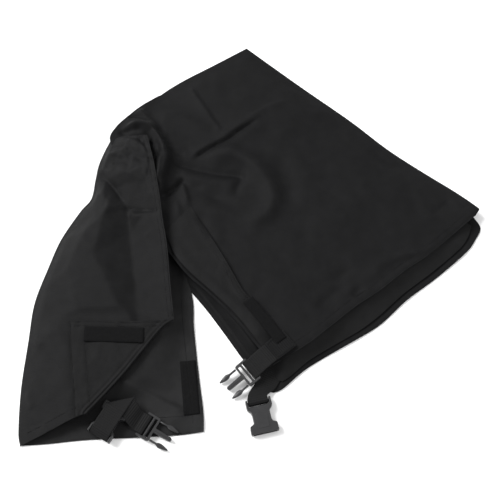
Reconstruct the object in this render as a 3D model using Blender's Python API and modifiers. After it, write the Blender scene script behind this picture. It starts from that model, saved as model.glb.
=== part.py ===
"""Film changing bag, laid folded on a table.

A flat double-layered body (outer shell and light-tight inner bag) runs into a
narrower arm sleeve.  Both mouths have a slit with hook-and-loop strips and a
25 mm webbing cinch strap that ends in a side-release buckle.

Lengths are written in millimetres and turned into metres by mm().
X is to the right, Y is away from the front edge, Z is up.
"""
import math

import bmesh
import bpy
from mathutils import Euler, Matrix, Vector

# ---------------------------------------------------------------- dimensions
ASSEMBLY = "film_changing_bag"
LAYOUT_CENTRE = (-0.2, -2.3)  # the middle of the whole layout, which becomes the origin

FABRIC = 1.5                 # a doubled nylon layer with its hem
LINER = 1.0                  # one layer of the inner bag
LINER_INSET = 20.0           # the inner bag is cut at least this much smaller
LINER_EDGE_Z = 3.6           # underside of its upper layer along its own edge
LINER_SLOPE = 0.7            # its rise as a share of the body's
EDGE_Z = 2.0                 # underside of an upper layer along a folded edge
BODY_RISE = 17.0             # how far the body's upper layer stands above that
BODY_SPREAD = 45.0           # how fast it rises from a folded edge
SLEEVE_RISE = 15.0
SLEEVE_SPREAD = 35.0
SHOULDER_RISE = 14.0         # bunched fabric where sleeve and body meet
SHOULDER_AT = (-150.0, 110.0)
SHOULDER_SPREAD = 55.0
GRID = 42.0                  # facet size of the fabric solids
SEAM_GAP = 0.5

FLAP_HINGE_Z = 21.0          # fold line of the sleeve's turned-back corner
FLAP_Z = 22.0

WEBBING = 25.0
WEBBING_T = 1.3
BAR_R = 1.8                  # strap bars of the buckles
LOOP_R = 2.85                # centre line of the webbing round a bar
STRIP_T = 1.5                # hook or loop tape

PLUG_T = 4.4
PLUG_HALF_W = 15.8
PLUG_INNER = 13.2            # half the width between the frame's rails
PLUG_REAR = -4.0
PLUG_FRONT = 13.5
GUIDE_HALF_W = 2.8
GUIDE_TIP = 37.0
PRONG_X = 12.7
PRONG_HINGE_Y = 14.9
PRONG_ROOT_R = 1.0
PRONG_TIP = 40.0

SOCKET_T = 8.5
SOCKET_REAR = -3.5
SOCKET_LENGTH = 39.5         # from the strap bar to the mouth
SOCKET_EAR = 15.7
SOCKET_WAIST = 11.0
SOCKET_MOUTH = 17.2
CAVITY_HALF_W = 14.5
CAVITY_H = 5.2
CAVITY_BACK = 13.0

# Outlines in the layout, counter-clockwise, on a table seen from above.
SEAM = [(-167, 186), (-150, 100), (-122, 10), (-88, -86)]

BODY_FOLDED_EDGE = [(288, 24), (173, 120), (-16, 289), (-107, 233), (-162, 189)]
BODY_LOWER_MOUTH = [(-67, -113), (-20, -179), (7, -210), (23, -219), (58, -191), (128, -150),
                    (157, -129), (210, -84), (259, -44), (276, -30), (288, -13), (293, 5),
                    (293, 20)]
BODY_UPPER_MOUTH = [(-5, -164), (18, -190), (37, -178), (65, -161), (114, -119), (180, -82),
                    (226, -37), (286, 15)]
BODY_SHOULDER = [(-158, 181), (-146, 135), (-141, 109), (-130, 52), (-121, 17), (-116, -22),
                 (-91, -78), (-33, -130)]
LINER_BACK = [(246, 32), (160, 100), (-17, 258), (-98, 208), (-135, 185), (-120, 130),
              (-108, 50), (-98, -15), (-75, -62), (-20, -112)]
LINER_LOWER_MOUTH = [(15, -156), (60, -174), (101, -160), (149, -122), (191, -86), (226, -58),
                     (266, -21), (272, 8)]
LINER_UPPER_MOUTH = [(15, -150), (40, -150), (120, -98), (210, -22), (258, 14)]

SLEEVE_LEFT = [(-167, 186), (-193, 150), (-217, 94), (-221, 43), (-255, -2), (-261, -18),
               (-287, -103), (-290, -155), (-293, -215), (-291, -267), (-287, -284)]
SLEEVE_LOWER_HEM = [(-256, -282), (-209, -278), (-146, -275), (-97, -272), (-69, -268)]
SLEEVE_LOWER_RIGHT = [(-70, -245), (-76, -195), (-83, -137)]
SLEEVE_UPPER_HEM = [(-258, -273), (-224, -257), (-208, -253)]
SLEEVE_FREE_EDGE = [(-107, -133), (-119, -36), (-127, 16), (-136, 51), (-147, 109),
                    (-152, 131), (-164, 179)]
FOLD_TOP = (-107, -133)
FOLD_END = (-208, -253)
FLAP_EDGE = [(-239, -134), (-230, -202), (-223, -258)]

LAPEL_FOLD = [(-116, -22), (-91, -78), (-33, -130), (-5, -164)]
LAPEL_FREE = [(27, -151), (-7, -104), (-25, -79), (-50, -36), (-86, 17)]
LAPEL_Z = 22.7

# Buckle halves: strap bar position, heading of the tip (degrees), downward tilt (degrees)
BODY_PLUG = ((-11.0, -195.0, 11.0), 218.5, 11.0)
BODY_SOCKET = ((-2.0, -234.0, 6.0), 283.0, 0.0)
SLEEVE_PLUG = ((-139.0, -263.0, 7.2), -30.0, 3.5)
SLEEVE_SOCKET = ((-193.0, -275.0, 8.4), 59.0, 0.0)

CHARCOAL = (0.020, 0.020, 0.022)
COATED = (0.035, 0.035, 0.038)
BLACK = (0.010, 0.010, 0.011)
PLASTIC = (0.060, 0.060, 0.062)


def mm(value):
    return value / 1000.0


# ---------------------------------------------------------------- scene helpers
def clear_scene():
    for old in list(bpy.data.objects):
        bpy.data.objects.remove(old, do_unlink=True)


def new_collection(name):
    collection = bpy.data.collections.new(name)
    bpy.context.scene.collection.children.link(collection)
    return collection


def material(name, colour, roughness):
    """A Principled material, made once for each finish."""
    found = bpy.data.materials.get(name)
    if found:
        return found
    found = bpy.data.materials.new(name)
    found.use_nodes = True
    shader = found.node_tree.nodes["Principled BSDF"]
    shader.inputs["Base Color"].default_value = (*colour, 1.0)
    shader.inputs["Roughness"].default_value = roughness
    shader.inputs["Metallic"].default_value = 0.0
    return found


def add_part(name, mesh, finish, parent):
    part = bpy.data.objects.new(name, mesh)
    PARTS.objects.link(part)
    part.parent = parent
    if not mesh.materials:
        mesh.materials.append(finish)
    return part


def empty(name, parent, at=(0, 0, 0), turn=None):
    """An axis or origin marker. `turn` is (heading, downward tilt) in degrees."""
    marker = bpy.data.objects.new(name, None)
    PARTS.objects.link(marker)
    marker.parent = parent
    marker.location = [mm(value) for value in at]
    if turn:
        heading, tilt = turn
        marker.rotation_euler = Euler((math.radians(-tilt), 0, math.radians(heading - 90)), "XYZ")
    return marker


def keep_as_cutter(part):
    """Move an operand out of the assembly and hide it."""
    for collection in list(part.users_collection):
        collection.objects.unlink(part)
    CUTTERS.objects.link(part)
    part.hide_render = True
    part.display_type = "WIRE"


def boolean(part, other, operation):
    modifier = part.modifiers.new(operation.lower(), "BOOLEAN")
    modifier.operation = operation
    modifier.object = other
    modifier.solver = "EXACT"
    keep_as_cutter(other)


# ---------------------------------------------------------------- fabric solids
def distance_to(line, x, y):
    """Distance from a point to a line of straight stretches."""
    here = Vector((x, y))
    best = math.inf
    for start, end in zip(line, line[1:]):
        a = Vector(start)
        along = Vector(end) - a
        share = max(0.0, min(1.0, (here - a).dot(along) / along.length_squared))
        best = min(best, (here - a - along * share).length)
    return best


def rise_from(line, x, y, rise, spread):
    return EDGE_Z + rise * (1 - math.exp(-distance_to(line, x, y) / spread))


def body_height(x, y):
    """Underside of the body's upper layer."""
    return rise_from(BODY_FOLDED_EDGE, x, y, BODY_RISE, BODY_SPREAD)


def liner_height(x, y):
    """Underside of the inner bag's upper layer, which follows the body less steeply."""
    at_its_edge = EDGE_Z + BODY_RISE * (1 - math.exp(-LINER_INSET / BODY_SPREAD))
    return LINER_EDGE_Z + LINER_SLOPE * (body_height(x, y) - at_its_edge)


def sleeve_height(x, y):
    """Underside of the sleeve's upper layer, with the bunched shoulder."""
    off = Vector((x, y)) - Vector(SHOULDER_AT)
    bunch = SHOULDER_RISE * math.exp(-off.length_squared / (2 * SHOULDER_SPREAD ** 2))
    return rise_from(SLEEVE_LEFT, x, y, SLEEVE_RISE, SLEEVE_SPREAD) + bunch


def cut_grid(sheet, spacing):
    """Cut a flat sheet along a square grid, so that it can take a curved height."""
    for axis in (Vector((1, 0, 0)), Vector((0, 1, 0))):
        reach = [vert.co.dot(axis) for vert in sheet.verts]
        steps = int((max(reach) - min(reach)) // spacing)
        for step in range(1, steps + 1):
            place = axis * (min(reach) + step * (max(reach) - min(reach)) / (steps + 1))
            everything = sheet.verts[:] + sheet.edges[:] + sheet.faces[:]
            bmesh.ops.bisect_plane(sheet, geom=everything, plane_co=place, plane_no=axis,
                                   dist=0.01)


def fabric(name, outline, height, thickness, finish, spacing=GRID, parent=None):
    """A sheet over an outline. `height` is its underside, a number or a function of x and y."""
    sheet = bmesh.new()
    sheet.faces.new([sheet.verts.new((x, y, 0)) for x, y in outline])
    if callable(height):
        cut_grid(sheet, spacing)
    for vert in sheet.verts:
        vert.co.z = height(vert.co.x, vert.co.y) if callable(height) else height
    bmesh.ops.triangulate(sheet, faces=sheet.faces)
    bmesh.ops.recalc_face_normals(sheet, faces=sheet.faces)
    if sum(face.normal.z * face.calc_area() for face in sheet.faces) < 0:
        bmesh.ops.reverse_faces(sheet, faces=sheet.faces)
    bmesh.ops.scale(sheet, verts=sheet.verts, vec=Vector((mm(1), mm(1), mm(1))))
    mesh = bpy.data.meshes.new(name)
    sheet.to_mesh(mesh)
    sheet.free()
    part = add_part(name, mesh, finish, parent or LAYOUT)
    solid = part.modifiers.new("thickness", "SOLIDIFY")
    solid.thickness = mm(thickness)
    solid.offset = 1.0
    return part


def local_outline(marker, outline):
    """Write a layout outline in the frame of a marker that only stands and turns about Z."""
    back = marker.matrix_basis.inverted()
    return [tuple((back @ Vector((mm(x), mm(y), 0))).xy * 1000) for x, y in outline]


def build_body():
    lower = [(x + SEAM_GAP, y) for x, y in SEAM] + BODY_LOWER_MOUTH + BODY_FOLDED_EDGE
    fabric("body_lower_panel", lower, 0.0, FABRIC, NYLON)
    upper = BODY_SHOULDER + BODY_UPPER_MOUTH + BODY_FOLDED_EDGE
    fabric("body_upper_panel", upper, body_height, FABRIC, NYLON)

    fabric("inner_bag_lower", LINER_BACK + LINER_LOWER_MOUTH, FABRIC + 0.4, LINER, COATED_NYLON)
    fabric("inner_bag_upper", LINER_BACK + LINER_UPPER_MOUTH, liner_height, LINER, COATED_NYLON)

    fabric("body_slit_lapel", LAPEL_FOLD + LAPEL_FREE, LAPEL_Z, FABRIC, NYLON)
    hook = [(-20, -111), (13, -155), (25, -149), (-9, -105)]
    fabric("body_slit_hook_strip", hook, LAPEL_Z + FABRIC + 0.3, STRIP_T, TAPE)
    loop = [(-58, -86), (0, -146), (14, -132), (-44, -72)]
    fabric("body_slit_loop_strip", loop, FABRIC + LINER + 0.7, STRIP_T, TAPE)


def build_sleeve():
    lower = SLEEVE_LEFT + SLEEVE_LOWER_HEM + SLEEVE_LOWER_RIGHT
    lower += [(x - SEAM_GAP, y) for x, y in reversed(SEAM[1:])]
    fabric("sleeve_lower_panel", lower, 0.0, FABRIC, COATED_NYLON)
    upper = SLEEVE_LEFT + SLEEVE_UPPER_HEM + SLEEVE_FREE_EDGE
    fabric("sleeve_upper_panel", upper, sleeve_height, FABRIC, NYLON)
    loop = [(-97, -248), (-77, -248), (-82, -180), (-102, -180)]
    fabric("sleeve_slit_loop_strip", loop, FABRIC + 0.3, STRIP_T, TAPE)


def build_flap():
    """The turned-back corner of the sleeve, which swings about its diagonal fold."""
    along = Vector(FOLD_TOP) - Vector(FOLD_END)
    heading = math.degrees(math.atan2(along.y, along.x))
    hinge = empty("sleeve_flap_axis", LAYOUT, (*FOLD_END, FLAP_HINGE_Z), (heading, 0.0))
    flap = local_outline(hinge, [FOLD_TOP] + FLAP_EDGE + [FOLD_END])
    fabric("sleeve_corner_flap", flap, FLAP_Z - FLAP_HINGE_Z, FABRIC, COATED_NYLON, parent=hinge)
    hook = [(-148, -144), (-217, -142), (-213, -161), (-156, -163)]
    fabric("sleeve_slit_hook_strip", local_outline(hinge, hook),
           FLAP_Z - FLAP_HINGE_Z + FABRIC + 0.3, STRIP_T, TAPE, parent=hinge)


# ---------------------------------------------------------------- webbing
def ribbon(name, sections, parent, thickness=WEBBING_T):
    """Webbing through (centre, direction across, half width) sections, in the parent's frame."""
    strip = bmesh.new()
    rows = []
    for centre, across, half in sections:
        side = Vector(across).normalized() * half
        rows.append([strip.verts.new(Vector(centre) + side), strip.verts.new(Vector(centre) - side)])
    for row, after in zip(rows, rows[1:]):
        strip.faces.new((row[0], row[1], after[1], after[0]))
    bmesh.ops.scale(strip, verts=strip.verts, vec=Vector((mm(1), mm(1), mm(1))))
    bmesh.ops.triangulate(strip, faces=strip.faces)
    mesh = bpy.data.meshes.new(name)
    strip.to_mesh(mesh)
    strip.free()
    part = add_part(name, mesh, WEB, parent)
    solid = part.modifiers.new("thickness", "SOLIDIFY")
    solid.thickness = mm(thickness)
    solid.offset = 0.0
    return part


def loop_sections(first, last, steps=8):
    """Webbing round a strap bar, from one angle to another, measured from the tip's side."""
    turn = []
    for step in range(steps + 1):
        angle = math.radians(first + (last - first) * step / steps)
        turn.append(((0, LOOP_R * math.cos(angle), LOOP_R * math.sin(angle)), (1, 0, 0),
                     WEBBING / 2))
    return turn


def straight(*places):
    return [((0, y, z), (1, 0, 0), WEBBING / 2) for y, z in places]


def turning_band(start_y, start_z, radius=22.0, steps=6, run=30.0, drop=2.0):
    """Webbing that turns a quarter circle to the left in its own plane, then runs straight."""
    sections = []
    for step in range(steps + 1):
        angle = math.radians(90 * step / steps)
        centre = (radius * (math.cos(angle) - 1), start_y + radius * math.sin(angle),
                  start_z - drop * step / steps)
        sections.append((centre, (math.cos(angle), math.sin(angle), 0), WEBBING / 2))
    end = sections[-1][0]
    sections.append(((end[0] - run, end[1], end[2] - drop / 2), (0, 1, 0), WEBBING / 2))
    return sections


def build_straps():
    # The body's plug strap is sewn on top of the hem and drops to the buckle.
    plug = empty("body_plug_strap_frame", LAYOUT, BODY_PLUG[0], (BODY_PLUG[1], 0.0))
    path = straight((-62, 10.6), (-20, 10.6), (-10, 6.2), (-5, 3.7))
    ribbon("body_plug_strap", path + loop_sections(90, -90) + straight((-8, -3.2)), plug)
    patch = [((0, -60, 12.1), (1, 0, 0), 9.5), ((0, -33, 12.1), (1, 0, 0), 9.5)]
    ribbon("body_strap_patch", patch, plug, 1.0)

    # The body's socket strap comes out between the layers and turns to the buckle.
    socket = empty("body_socket_strap_frame", LAYOUT, BODY_SOCKET[0], (BODY_SOCKET[1], 0.0))
    path = [((-34, -42, -3.0), (0.76, -0.65, 0), 12.5), ((-15, -20, -1.5), (0.82, -0.57, 0), 12.5),
            ((-4, -11, 0.6), (0.97, -0.25, 0), 12.5)] + straight((-5, 2.4))
    ribbon("body_socket_strap", path + loop_sections(90, -90) + straight((-7, -2.9)), socket)

    # The sleeve's plug strap runs along the lower hem.
    plug = empty("sleeve_plug_strap_frame", LAYOUT, SLEEVE_PLUG[0], (SLEEVE_PLUG[1], 0.0))
    path = [((12, -20, -4.6), (0.87, 0.5, 0), 12.0), ((6, -13, -4.0), (0.93, 0.36, 0), 12.3),
            ((1, -7, -3.4), (1, 0.1, 0), 12.5)] + straight((-3, -3.0))
    ribbon("sleeve_plug_strap", path + loop_sections(-90, 90) + straight((-8, 3.0)), plug)

    # The sleeve's socket is folded back under its own strap, which lifts about its sewn end.
    root_y, root_z = 35.0, 8.3
    socket = empty("sleeve_socket_strap_frame", LAYOUT, SLEEVE_SOCKET[0], (SLEEVE_SOCKET[1], 0.0))
    hinge = empty("sleeve_socket_strap_axis", socket, (0, root_y, root_z))
    path = straight((root_y - 1.0, root_z), (14, 7.4), (5, 5.9)) + loop_sections(116, 350, 10)
    path = [((x, y - root_y, z - root_z), side, half) for (x, y, z), side, half in path]
    ribbon("sleeve_socket_strap", path, hinge)
    ribbon("sleeve_cinch_band", turning_band(root_y + 1.0, root_z), socket)


# ---------------------------------------------------------------- buckles
def plate(name, outlines, thickness, parent, finish):
    """A flat moulding: 2D outlines, the first one outside and the rest holes."""
    curve = bpy.data.curves.new(name + "_outline", "CURVE")
    curve.dimensions = "2D"
    curve.fill_mode = "BOTH"
    curve.extrude = mm(thickness) / 2
    for outline in outlines:
        spline = curve.splines.new("POLY")
        spline.points.add(len(outline) - 1)
        for point, (x, y) in zip(spline.points, outline):
            point.co = (mm(x), mm(y), 0.0, 1.0)
        spline.use_cyclic_u = True
    drawn = bpy.data.objects.new(name + "_outline", curve)
    PARTS.objects.link(drawn)
    evaluated = drawn.evaluated_get(bpy.context.evaluated_depsgraph_get())
    mesh = bpy.data.meshes.new_from_object(evaluated)
    mesh.name = name
    bpy.data.objects.remove(drawn, do_unlink=True)
    welded = bmesh.new()
    welded.from_mesh(mesh)
    bmesh.ops.remove_doubles(welded, verts=welded.verts, dist=mm(0.01))
    bmesh.ops.recalc_face_normals(welded, faces=welded.faces)
    welded.to_mesh(mesh)
    welded.free()
    mesh.materials.clear()
    return add_part(name, mesh, finish, parent)


def both_sides(half_outline):
    """Complete a right-hand outline with its mirror image, all the way round."""
    return half_outline + [(-x, y) for x, y in reversed(half_outline)]


def arc(centre, radius, first, last, steps):
    """Points on an arc, from one angle to another in degrees."""
    points = []
    for step in range(steps + 1):
        angle = math.radians(first + (last - first) * step / steps)
        points.append((centre[0] + radius * math.cos(angle), centre[1] + radius * math.sin(angle)))
    return points


def strap_bar(part, half_length):
    """Join a round bar, along the part's X axis, to a buckle half."""
    bar = bmesh.new()
    bmesh.ops.create_cone(bar, cap_ends=True, segments=16, radius1=mm(BAR_R), radius2=mm(BAR_R),
                          depth=mm(2 * half_length),
                          matrix=Matrix.Rotation(math.radians(90), 4, "Y"))
    mesh = bpy.data.meshes.new(part.name + "_bar")
    bar.to_mesh(mesh)
    bar.free()
    boolean(part, add_part(part.name + "_bar", mesh, MOULDED, part.parent), "UNION")


def box_cutter(part, size, centre):
    cube = bmesh.new()
    bmesh.ops.create_cube(cube, size=1.0)
    bmesh.ops.scale(cube, verts=cube.verts, vec=Vector([mm(value) for value in size]))
    bmesh.ops.translate(cube, verts=cube.verts, vec=Vector([mm(value) for value in centre]))
    mesh = bpy.data.meshes.new(part.name + "_cavity")
    cube.to_mesh(mesh)
    cube.free()
    boolean(part, add_part(part.name + "_cavity", mesh, MOULDED, part.parent), "DIFFERENCE")


def build_plug(prefix, pose):
    at, heading, tilt = pose
    axis = empty(prefix + "_plug_axis", LAYOUT, at, (heading, tilt))
    guide = [(GUIDE_HALF_W, PLUG_FRONT), (GUIDE_HALF_W - 0.4, GUIDE_TIP - 1.5),
             (GUIDE_HALF_W - 1.4, GUIDE_TIP)]
    frame = [(PLUG_INNER, 4.6), (PLUG_INNER, PLUG_REAR), (PLUG_HALF_W - 0.6, PLUG_REAR),
             (PLUG_HALF_W, PLUG_REAR + 0.8), (PLUG_HALF_W, PLUG_FRONT - 2.0),
             (PLUG_HALF_W - 1.6, PLUG_FRONT)] + guide
    slot = both_sides([(PLUG_INNER - 0.6, 7.4), (PLUG_INNER - 0.6, 10.8)])
    moulding = plate(prefix + "_plug_frame", [both_sides(frame), slot], PLUG_T, axis, MOULDED)
    strap_bar(moulding, PLUG_INNER + 1.0)

    for side, label in ((-1, "left"), (1, "right")):
        root = empty(f"{prefix}_plug_prong_{label}_axis", axis, (side * PRONG_X, PRONG_HINGE_Y, 0))
        arm = arc((0, 0), PRONG_ROOT_R, 180, 360, 6)
        head = [(0.9, 8.0), (2.6, 12.0), (2.4, 14.0), (0.8, PRONG_TIP - PRONG_HINGE_Y - 4.0),
                (-0.4, PRONG_TIP - PRONG_HINGE_Y), (-1.6, 18.0), (-2.0, 14.0), (-0.9, 8.5)]
        outline = [(side * x, y) for x, y in arm + head]
        plate(f"{prefix}_plug_prong_{label}", [outline], PLUG_T - 0.4, root, MOULDED)


def build_socket(prefix, pose):
    at, heading, tilt = pose
    axis = empty(prefix + "_socket_axis", LAYOUT, at, (heading, tilt))
    shell = [(PLUG_INNER, 5.5), (PLUG_INNER, SOCKET_REAR), (SOCKET_EAR, SOCKET_REAR),
             (SOCKET_EAR, 7.0), (SOCKET_WAIST + 1.0, 11.0), (SOCKET_WAIST, 14.0),
             (SOCKET_WAIST, 25.0), (SOCKET_WAIST + 1.2, 27.5), (SOCKET_MOUTH - 0.6, 29.0),
             (SOCKET_MOUTH, SOCKET_LENGTH)]
    moulding = plate(prefix + "_socket_shell", [both_sides(shell)], SOCKET_T, axis, MOULDED)
    strap_bar(moulding, PLUG_INNER + 1.0)
    depth = SOCKET_LENGTH + 1.0 - CAVITY_BACK
    box_cutter(moulding, (2 * CAVITY_HALF_W, depth, CAVITY_H), (0, CAVITY_BACK + depth / 2, 0))


# ---------------------------------------------------------------- assembly
clear_scene()
PARTS = new_collection(ASSEMBLY)
CUTTERS = new_collection("cutters")
NYLON = material("nylon_shell", CHARCOAL, 0.75)
COATED_NYLON = material("coated_nylon", COATED, 0.6)
TAPE = material("hook_and_loop_tape", BLACK, 0.95)
WEB = material("webbing", BLACK, 0.85)
MOULDED = material("moulded_plastic", PLASTIC, 0.45)

LAYOUT = empty("bag_origin", None, (-LAYOUT_CENTRE[0], -LAYOUT_CENTRE[1], 0.0))
build_body()
build_sleeve()
build_flap()
build_straps()
for prefix_name, plug_pose, socket_pose in (("body", BODY_PLUG, BODY_SOCKET),
                                            ("sleeve", SLEEVE_PLUG, SLEEVE_SOCKET)):
    build_plug(prefix_name, plug_pose)
    build_socket(prefix_name, socket_pose)
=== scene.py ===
"""Film changing bag: the visible fabric, webbing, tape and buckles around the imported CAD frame.

Lengths are millimetres in the same table layout as the CAD model (X right, Y away from the
front edge, Z up); place() turns them into metres of the shared frame.
"""
import math

import bmesh
import bpy
import numpy as np
from mathutils import Euler, Matrix, Vector, noise
from mathutils.geometry import delaunay_2d_cdt


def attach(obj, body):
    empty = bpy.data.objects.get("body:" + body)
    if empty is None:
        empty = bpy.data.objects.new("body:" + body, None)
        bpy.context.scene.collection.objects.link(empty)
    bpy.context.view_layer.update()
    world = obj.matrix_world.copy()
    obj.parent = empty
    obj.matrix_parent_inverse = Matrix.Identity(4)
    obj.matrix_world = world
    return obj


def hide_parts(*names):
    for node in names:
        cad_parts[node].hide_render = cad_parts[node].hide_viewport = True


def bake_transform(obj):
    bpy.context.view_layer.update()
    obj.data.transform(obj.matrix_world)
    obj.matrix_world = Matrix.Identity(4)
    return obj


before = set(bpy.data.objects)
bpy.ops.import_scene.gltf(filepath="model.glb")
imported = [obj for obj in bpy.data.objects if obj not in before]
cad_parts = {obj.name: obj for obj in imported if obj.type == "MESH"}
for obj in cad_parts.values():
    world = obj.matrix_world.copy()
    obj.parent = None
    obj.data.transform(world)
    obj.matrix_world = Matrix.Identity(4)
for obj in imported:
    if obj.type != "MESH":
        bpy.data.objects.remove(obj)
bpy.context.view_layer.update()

# ---------------------------------------------------------------- dimensions
LAYOUT_SHIFT = (0.2, 2.3, 0.0)   # from the layout to the frame's origin
CLOTH = 0.8                      # one layer of coated nylon
LINER = 0.6                      # one layer of the inner bag
HEM = 13.0                       # width of a turned and stitched edge
RIM = 0.3                        # rounding of a cloth's rim, as a share of its thickness
STITCH = 3.4                     # length of one stitch
THREAD_RADIUS = 0.32
THREAD_LIFT = 0.1                # thread's centre line above the cloth
WEBBING = 25.0                   # width
WEBBING_T = 1.3                  # thickness
RIB = 2.8                        # pitch of the webbing's ribs
RIB_RELIEF = 0.20
TAPE_T = 1.5                     # thickness of hook-and-loop tape
TAPE_BORDER = 1.6                # its woven edge, free of pile
TAPE_GRID = 0.7
BAR_LOOP = 2.85                  # webbing's centre line round a buckle's strap bar
FLOOR_CLOTH = 0.95               # lowest top face of cloth that lies on the table
BODY_DEPTH = 1.35                # how strongly the body's creases stand out
NET_DEPTH = 1.6                  # how strongly the sleeve's facets stand out
SHARP, ROUND = False, True       # profiles of a crease

# Rows of stitching, as distances from the edge
MOUTH_ROWS = (2.2, 11.0)
NARROW_ROWS = (2.0, 7.0)         # slit edges: lapel, sleeve and top of the turned-back corner
SLEEVE_HEM_ROWS = (11.0,)
LOWER_HEM_ROWS = (2.2, 23.0)     # the sleeve's lower layer, along its hem and its right edge
LOWER_SIDE_ROWS = (2.2, 13.5)
FLAP_HEM_ROWS = (2.0, 19.0)

# Buckle halves: strap bar, heading of the tip, downward tilt (degrees)
BODY_PLUG = ((-11.0, -195.0, 11.0), 218.5, 11.0)
BODY_SOCKET = ((-2.0, -234.0, 6.0), 283.0, 0.0)
SLEEVE_PLUG = ((-139.0, -263.0, 7.2), -30.0, 3.5)
SLEEVE_SOCKET = ((-193.0, -275.0, 8.4), 59.0, 0.0)

# Edges of the bag in the layout, each running as its name says.
MOUTH_TOP = [(16, -192), (37, -178), (65, -160), (92, -138), (121, -114), (154, -91), (187, -64),
             (222, -39), (257, -8), (287, 18)]
RIGHT_FOLD = [(287, 18), (294, 28), (257, 65), (182, 124), (129, 173), (59, 232), (-17, 298)]
UPPER_FOLD = [(-200, 120), (-205, 139), (-196, 158), (-183, 174), (-168, 191), (-140, 216),
              (-109, 240), (-61, 270), (-17, 298)]
BODY_INNER_SIDE = [(16, -192), (-4, -166), (-31, -131), (-62, -98), (-92, -70), (-112, -45),
                   (-131, -15), (-143, 30), (-152, 70), (-168, 100), (-200, 120)]
SLEEVE_LEFT = [(-289, -288), (-293, -269), (-295, -215), (-292, -155), (-289, -103), (-276, -54),
               (-262, -11), (-240, 29), (-226, 48), (-222, 76), (-219, 97), (-212, 119),
               (-204, 138)]
SLEEVE_BOTTOM = [(-289, -288), (-259, -275), (-224, -257), (-208, -253)]
FOLD_LINE = [(-208, -253), (-189, -231), (-165, -202), (-124, -146), (-107, -133)]
FREE_EDGE = [(-107, -133), (-113, -86), (-119, -33), (-126, 5), (-131, 38), (-141, 90), (-152, 133)]
SLEEVE_TOP = [(-204, 138), (-192, 137), (-172, 137), (-152, 133)]


# ---------------------------------------------------------------- curves and grids
def smooth(points, step=2.0, sharp=()):
    """A round curve through the points. Those numbered in `sharp` keep their corner."""
    points = np.asarray(points, float)
    stops = [0] + [i % len(points) for i in sharp] + [len(points) - 1]
    curve = [points[:1]]
    for first, last in zip(stops, stops[1:]):
        part = points[first:last + 1]
        ends = np.vstack([2 * part[0] - part[1], part, 2 * part[-1] - part[-2]])
        for i in range(len(part) - 1):
            a, b, c, d = ends[i:i + 4]
            count = max(2, int(np.linalg.norm(c - b) / step))
            t = (np.arange(1, count + 1) / count)[:, None]
            curve.append(0.5 * (2 * b + (c - a) * t + (2 * a - 5 * b + 4 * c - d) * t ** 2
                                + (3 * b - a - 3 * c + d) * t ** 3))
    return np.vstack(curve)


def lengths(curve):
    return np.concatenate([[0], np.cumsum(np.linalg.norm(np.diff(curve, axis=0), axis=1))])


def at(curve, shares):
    """Points at shares (0 to 1) of a curve's length."""
    run = lengths(curve)
    return np.stack([np.interp(np.asarray(shares) * run[-1], run, curve[:, k])
                     for k in range(curve.shape[1])], axis=-1)


def shares(length, spacing, near_start=(), near_end=()):
    """Rows across a sheet: evenly spaced, with extra ones at set distances from its ends."""
    lo = max(near_start, default=0.0)
    hi = length - max(near_end, default=0.0)
    middle = np.linspace(lo, hi, max(2, int((hi - lo) / spacing) + 1))
    rows = np.concatenate([np.sort(near_start), middle, length - np.sort(near_end)])
    return np.unique(np.round(np.concatenate([[0, length], rows]) / length, 6))


def coons(bottom, top, left, right, u, v):
    """Plan of a four-sided sheet. Bottom and top run left to right, the sides run upwards."""
    b, t, l, r = at(bottom, u), at(top, u), at(left, v), at(right, v)
    u, v = u[None, :, None], v[:, None, None]
    corners = ((1 - u) * (1 - v) * b[0] + u * (1 - v) * b[-1]
               + (1 - u) * v * t[0] + u * v * t[-1])
    return (1 - v) * b[None] + v * t[None] + (1 - u) * l[:, None] + u * r[:, None] - corners


def to_line(x, y, line):
    """Distance to a line, which side (+ is left of its direction), and the share along it."""
    line = np.asarray(line, float)[:, :2]
    best = np.full(np.shape(x), np.inf)
    side = np.zeros(np.shape(x))
    share = np.zeros(np.shape(x))
    run = lengths(line)
    for i in range(len(line) - 1):
        a, d = line[i], line[i + 1] - line[i]
        t = np.clip(((x - a[0]) * d[0] + (y - a[1]) * d[1]) / (d @ d), 0, 1)
        gap = np.hypot(x - a[0] - t * d[0], y - a[1] - t * d[1])
        closer = gap < best
        cross = d[0] * (y - a[1]) - d[1] * (x - a[0])
        best = np.where(closer, gap, best)
        side = np.where(closer, np.sign(cross), side)
        share = np.where(closer, (run[i] + t * (run[i + 1] - run[i])) / run[-1], share)
    return best, side, share


def ramp(value, low, high):
    t = np.clip((value - low) / (high - low), 0, 1)
    return t * t * (3 - 2 * t)


# ---------------------------------------------------------------- heights
def crease(x, y, line, height, left, right, profile=SHARP, start=0.25, end=0.25):
    """A ridge (or a valley, if height is negative) along a line, which dies out at its ends.

    Left and right are its reaches to both sides. Start and end are the shares of its length over
    which it grows to full height.
    """
    gap, side, share = to_line(x, y, smooth(line, 4.0))
    reach = np.where(side > 0, left, right)
    slope = np.exp(-(gap / reach) ** 2) if profile == ROUND else np.exp(-gap / reach)
    fade = ramp(share, -0.001, start) * ramp(1 - share, -0.001, end)
    return height * slope * fade


def mound(x, y, centre, radii, height, turn=0.0):
    c, s = math.cos(math.radians(turn)), math.sin(math.radians(turn))
    dx, dy = x - centre[0], y - centre[1]
    along, across = dx * c + dy * s, dy * c - dx * s
    return height * np.exp(-(along / radii[0]) ** 2 - (across / radii[1]) ** 2)


def rumple(x, y, scale, height, seed):
    """Smooth unevenness of limp cloth."""
    out = np.empty(np.shape(x))
    flat = out.ravel()
    for i, (px, py) in enumerate(zip(np.ravel(x), np.ravel(y))):
        flat[i] = noise.fractal(Vector((px / scale, py / scale, seed)), 0.9, 2.1, 3)
    return height * out


def relief(x, y, shapes):
    """Sum of creases and mounds, each given as its function and what that takes after x and y."""
    return sum(shape(x, y, *values) for shape, *values in shapes)


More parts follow.
